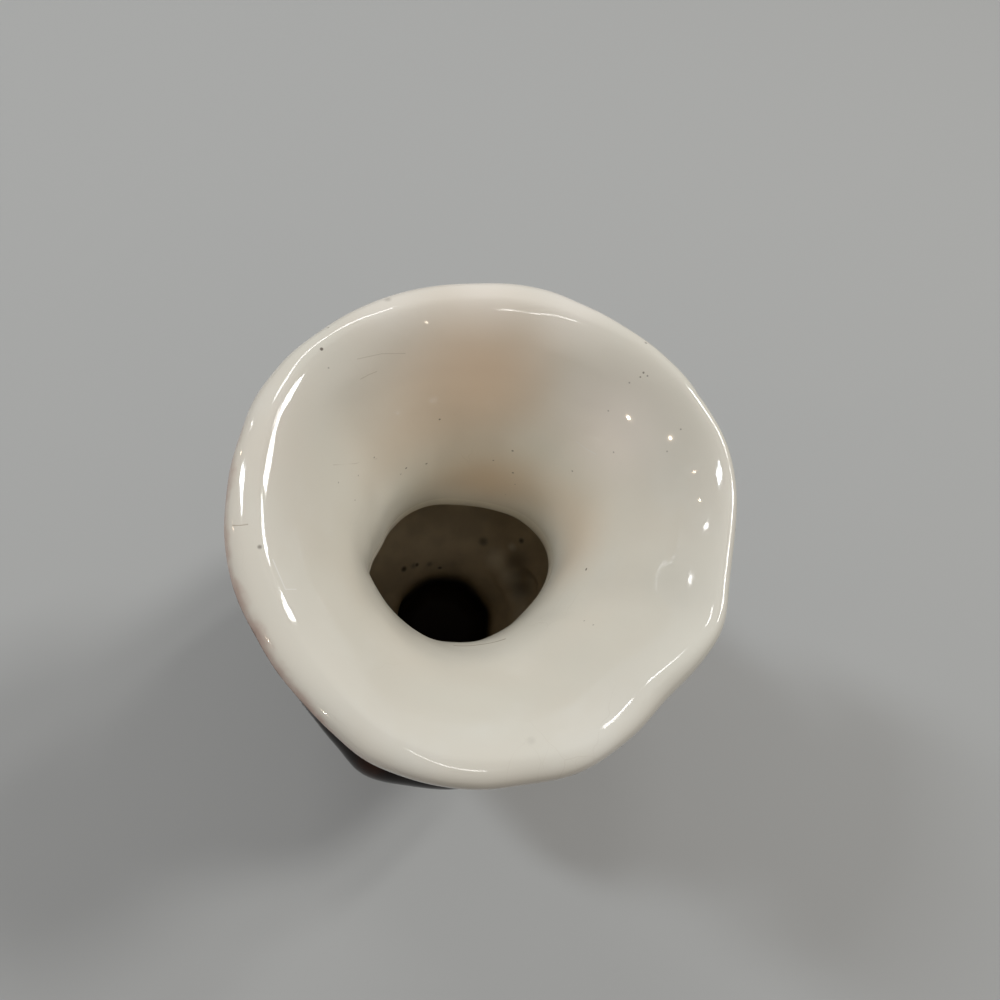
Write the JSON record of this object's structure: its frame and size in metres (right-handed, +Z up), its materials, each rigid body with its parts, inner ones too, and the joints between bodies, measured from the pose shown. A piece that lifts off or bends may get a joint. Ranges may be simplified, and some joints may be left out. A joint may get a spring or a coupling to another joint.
{
  "type": "bud vase",
  "caption": "Panelled bud vase: hollow pedestal foot, swelling belly, pinched throat and a trumpet mouth with a hand-rolled lip, glazed cream inside and brown-black outside.",
  "frame": {"origin": "on the table, under the middle of the vase, at the foot ring's underside", "axes": "+Z up the vase's axis; +X and +Y each square to a panel of the eight-sided body"},
  "size_m": [0.0741, 0.0754, 0.126],
  "materials": {
    "cream_glaze": "clear crazed cream glaze",
    "dark_glaze": "glossy brown-black glaze breaking red-brown on edges",
    "bare_clay": "matt unglazed buff clay"
  },
  "bodies": {
    "root": {"foot_ring": "bare_clay", "pedestal_foot": "dark_glaze", "panelled_body": "dark_glaze", "trumpet_mouth": "cream_glaze", "lip_coil": "cream_glaze"}
  },
  "joints": []
}
